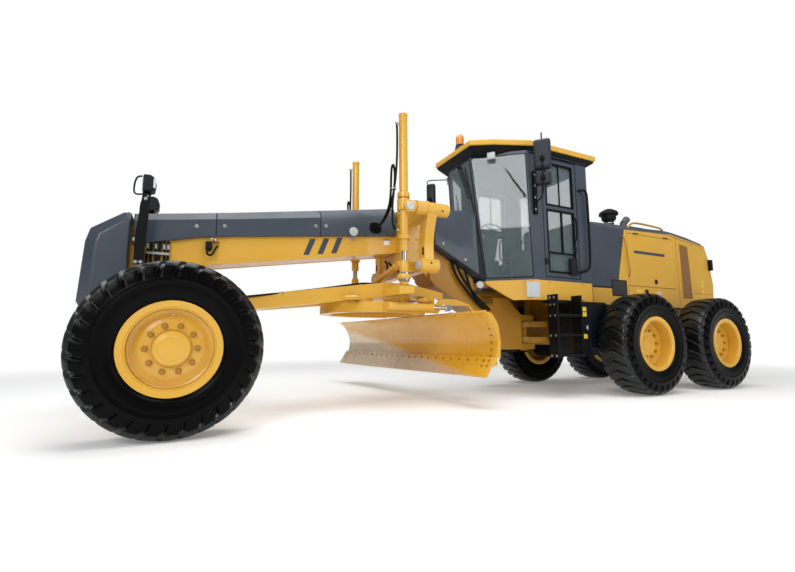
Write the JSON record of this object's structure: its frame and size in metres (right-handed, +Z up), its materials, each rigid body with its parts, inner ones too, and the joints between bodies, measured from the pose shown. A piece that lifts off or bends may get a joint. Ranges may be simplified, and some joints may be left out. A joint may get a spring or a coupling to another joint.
{
  "type": "motor grader",
  "caption": "Six-wheel articulated motor grader with a centre blade on a turning circle, leaning front wheels and a closed cab.",
  "frame": {"origin": "centre of the rear tow hitch's upright bore, halfway between its two plates", "axes": "+X forward along the machine, +Y to the driver's left, +Z up along the hitch bore"},
  "size_m": [9.425, 3.7525, 3.6098],
  "materials": {
    "yellow_paint": "satin",
    "grey_paint": "satin",
    "black_paint": "satin",
    "tyre_rubber": "matte",
    "chrome_rod": "polished",
    "worn_steel": "worn",
    "cast_grey": "rough",
    "tinted_glass": "gloss",
    "seat_fabric": "woven",
    "dark_plastic": "matte",
    "grille_brown": "matte"
  },
  "bodies": {
    "rear_unit": {"rear_frame": "yellow_paint", "tandem_drive": "yellow_paint", "engine_block": "cast_grey", "engine_hood": "yellow_paint", "hood_cowl": "grey_paint", "intake_and_exhaust": "black_paint", "cab_base": "yellow_paint", "cab_shell": "grey_paint", "cab_roof": "yellow_paint", "cab_glass": "tinted_glass", "operator_seat": "seat_fabric", "steering_console": "dark_plastic", "mirrors": "black_paint", "cab_lamps": "black_paint", "access_steps": "black_paint", "side_boxes": "black_paint"},
    "front_unit": {"front_frame": "yellow_paint", "nose_cover": "grey_paint", "frame_covers": "grey_paint", "headlight_posts": "black_paint", "lift_saddle": "yellow_paint", "front_axle": "yellow_paint"},
    "left_cab_door": {"cab_door_left": "grey_paint", "door_glass_left": "tinted_glass"},
    "right_cab_door": {"cab_door_right": "grey_paint", "door_glass_right": "tinted_glass"},
    "left_engine_door": {"engine_door_left": "yellow_paint"},
    "right_engine_door": {"engine_door_right": "yellow_paint"},
    "rear_grille_door": {"rear_grille": "grille_brown"},
    "left_yoke": {"lean_yoke_left": "yellow_paint"},
    "right_yoke": {"lean_yoke_right": "yellow_paint"},
    "left_knuckle": {"knuckle_left": "yellow_paint"},
    "right_knuckle": {"knuckle_right": "yellow_paint"},
    "wheel_lean_bar": {"lean_bar": "yellow_paint"},
    "steering_cylinder_rod": {"steering_rod": "chrome_rod"},
    "drawbar_pivot": {"drawbar_ball": "cast_grey"},
    "drawbar_body": {"drawbar": "yellow_paint"},
    "circle_body": {"circle": "yellow_paint"},
    "carrier_body": {"blade_carrier": "yellow_paint"},
    "blade": {"moldboard": "yellow_paint", "cutting_edge": "worn_steel"},
    "tilt_cylinder_rod": {"tilt_rod": "chrome_rod"},
    "left_lift_barrel": {"lift_barrel_left": "yellow_paint"},
    "right_lift_barrel": {"lift_barrel_right": "yellow_paint"},
    "left_lift_rod": {"lift_rod_left": "chrome_rod"},
    "right_lift_rod": {"lift_rod_right": "chrome_rod"},
    "shift_cylinder_barrel": {"shift_barrel": "yellow_paint"},
    "shift_cylinder_rod": {"shift_rod": "chrome_rod"},
    "wheel_front_left": {"tyre_front_left": "tyre_rubber", "rim_front_left": "yellow_paint"},
    "wheel_front_right": {"tyre_front_right": "tyre_rubber", "rim_front_right": "yellow_paint"},
    "wheel_mid_left": {"tyre_mid_left": "tyre_rubber", "rim_mid_left": "yellow_paint"},
    "wheel_mid_right": {"tyre_mid_right": "tyre_rubber", "rim_mid_right": "yellow_paint"},
    "wheel_rear_left": {"tyre_rear_left": "tyre_rubber", "rim_rear_left": "yellow_paint"},
    "wheel_rear_right": {"tyre_rear_right": "tyre_rubber", "rim_rear_right": "yellow_paint"}
  },
  "joints": [
    {"name": "articulation", "type": "hinge", "parent": "rear_unit", "child": "front_unit", "pos_m": [4.01, 0, 0.04], "axis": [0, 0, -1], "range_deg": [-27, 27]},
    {"name": "wheel_lean_left", "type": "hinge", "parent": "front_unit", "child": "left_yoke", "pos_m": [8.56, 0.62, -0.24], "axis": [-1, 0, 0], "range_deg": [-17, 17]},
    {"name": "steering_left", "type": "hinge", "parent": "left_yoke", "child": "left_knuckle", "pos_m": [8.56, 0.82, -0.125], "axis": [0, 0, 1], "range_deg": [-45, 45]},
    {"name": "front_wheel_spin_left", "type": "hinge", "parent": "left_knuckle", "child": "wheel_front_left", "pos_m": [8.56, 1.07, -0.125], "axis": [0, 1, 0], "continuous": true},
    {"name": "wheel_lean_right", "type": "hinge", "parent": "front_unit", "child": "right_yoke", "pos_m": [8.56, -0.62, -0.24], "axis": [-1, 0, 0], "range_deg": [-17, 17]},
    {"name": "steering_right", "type": "hinge", "parent": "right_yoke", "child": "right_knuckle", "pos_m": [8.56, -0.82, -0.125], "axis": [0, 0, 1], "range_deg": [-45, 45]},
    {"name": "front_wheel_spin_right", "type": "hinge", "parent": "right_knuckle", "child": "wheel_front_right", "pos_m": [8.56, -1.07, -0.125], "axis": [0, 1, 0], "continuous": true},
    {"name": "lean_bar_pivot", "type": "hinge", "parent": "left_yoke", "child": "wheel_lean_bar", "pos_m": [8.635, 0.62, 0.165], "axis": [-1, 0, 0], "range_deg": [-17, 17]},
    {"name": "steering_cylinder", "type": "slide", "parent": "front_unit", "child": "steering_cylinder_rod", "axis": [0, 1, 0], "range_m": [-0.12, 0.12]},
    {"name": "mid_wheel_spin_left", "type": "hinge", "parent": "rear_unit", "child": "wheel_mid_left", "pos_m": [2.88, 1.07, -0.125], "axis": [0, 1, 0], "continuous": true},
    {"name": "mid_wheel_spin_right", "type": "hinge", "parent": "rear_unit", "child": "wheel_mid_right", "pos_m": [2.88, -1.07, -0.125], "axis": [0, 1, 0], "continuous": true},
    {"name": "rear_wheel_spin_left", "type": "hinge", "parent": "rear_unit", "child": "wheel_rear_left", "pos_m": [1.24, 1.07, -0.125], "axis": [0, 1, 0], "continuous": true},
    {"name": "rear_wheel_spin_right", "type": "hinge", "parent": "rear_unit", "child": "wheel_rear_right", "pos_m": [1.24, -1.07, -0.125], "axis": [0, 1, 0], "continuous": true},
    {"name": "drawbar_swing", "type": "hinge", "parent": "front_unit", "child": "drawbar_pivot", "pos_m": [8.23, 0, 0.285], "axis": [0, 0, 1], "range_deg": [-12, 12]},
    {"name": "drawbar_lift", "type": "hinge", "parent": "drawbar_pivot", "child": "drawbar_body", "pos_m": [8.23, 0, 0.285], "axis": [0, -1, 0], "range_deg": [-2.5, 18.5]},
    {"name": "circle_turn", "type": "hinge", "parent": "drawbar_body", "child": "circle_body", "pos_m": [6.41, 0, 0.295], "axis": [0, 0, 1], "range_deg": [-45, 45]},
    {"name": "blade_tilt", "type": "hinge", "parent": "circle_body", "child": "carrier_body", "pos_m": [5.42395, -0.08376, -0.28], "axis": [-0.0941, 0.9956, 0], "range_deg": [-28, 12]},
    {"name": "blade_side_shift", "type": "slide", "parent": "carrier_body", "child": "blade", "axis": [0.0941, -0.9956, 0], "range_m": [-1.24, 0.1]},
    {"name": "tilt_cylinder", "type": "slide", "parent": "circle_body", "child": "tilt_cylinder_rod", "axis": [0.9956, 0.0941, 0], "range_m": [-0.23, 0.1]},
    {"name": "lift_cylinder_swing_left", "type": "hinge", "parent": "front_unit", "child": "left_lift_barrel", "pos_m": [6.36, 0.75, 1.42], "axis": [-1, 0, 0], "range_deg": [-24, 24]},
    {"name": "lift_cylinder_left", "type": "slide", "parent": "left_lift_barrel", "child": "left_lift_rod", "axis": [0, 0, -1], "range_m": [-0.083, 0.61]},
    {"name": "lift_cylinder_swing_right", "type": "hinge", "parent": "front_unit", "child": "right_lift_barrel", "pos_m": [6.36, -0.75, 1.42], "axis": [-1, 0, 0], "range_deg": [-24, 24]},
    {"name": "lift_cylinder_right", "type": "slide", "parent": "right_lift_barrel", "child": "right_lift_rod", "axis": [0, 0, -1], "range_m": [-0.083, 0.61]},
    {"name": "shift_cylinder_swing", "type": "hinge", "parent": "front_unit", "child": "shift_cylinder_barrel", "pos_m": [6.27, 0.45, 0.8], "axis": [1, 0, 0], "range_deg": [-6, 40]},
    {"name": "shift_cylinder", "type": "slide", "parent": "shift_cylinder_barrel", "child": "shift_cylinder_rod", "axis": [0, -0.9874, -0.158], "range_m": [-0.04, 0.28]},
    {"name": "cab_door_left", "type": "hinge", "parent": "rear_unit", "child": "left_cab_door", "pos_m": [4.2757, 0.748, 1.545], "axis": [0, 0, -1], "range_deg": [0, 85]},
    {"name": "cab_door_right", "type": "hinge", "parent": "rear_unit", "child": "right_cab_door", "pos_m": [4.2757, -0.748, 1.545], "axis": [0, 0, 1], "range_deg": [0, 85]},
    {"name": "engine_door_left", "type": "hinge", "parent": "rear_unit", "child": "left_engine_door", "pos_m": [1.835, 0.605, 1.568], "axis": [1, 0, 0], "range_deg": [0, 75]},
    {"name": "engine_door_right", "type": "hinge", "parent": "rear_unit", "child": "right_engine_door", "pos_m": [1.835, -0.605, 1.568], "axis": [-1, 0, 0], "range_deg": [0, 75]},
    {"name": "rear_grille", "type": "hinge", "parent": "rear_unit", "child": "rear_grille_door", "pos_m": [0.188, 0.476, 0.86], "axis": [0, 0, -1], "range_deg": [0, 100]}
  ],
  "couplings": [
    {"joint": "wheel_lean_right", "follows": "wheel_lean_left", "ratio": 1},
    {"joint": "lean_bar_pivot", "follows": "wheel_lean_left", "ratio": -1},
    {"joint": "steering_right", "follows": "steering_left", "ratio": 1},
    {"joint": "steering_cylinder", "follows": "steering_left", "m_per_rad": -0.144},
    {"joint": "tilt_cylinder", "follows": "blade_tilt", "m_per_rad": 0.45},
    {"joint": "lift_cylinder_left", "follows": "drawbar_lift", "m_per_rad": 1.85},
    {"joint": "lift_cylinder_right", "follows": "drawbar_lift", "m_per_rad": 1.85},
    {"joint": "lift_cylinder_swing_left", "follows": "drawbar_swing", "ratio": 2},
    {"joint": "lift_cylinder_swing_right", "follows": "drawbar_swing", "ratio": 2},
    {"joint": "shift_cylinder_swing", "follows": "drawbar_lift", "ratio": 1.58},
    {"joint": "shift_cylinder", "follows": "drawbar_lift", "m_per_rad": 0.817}
  ]
}
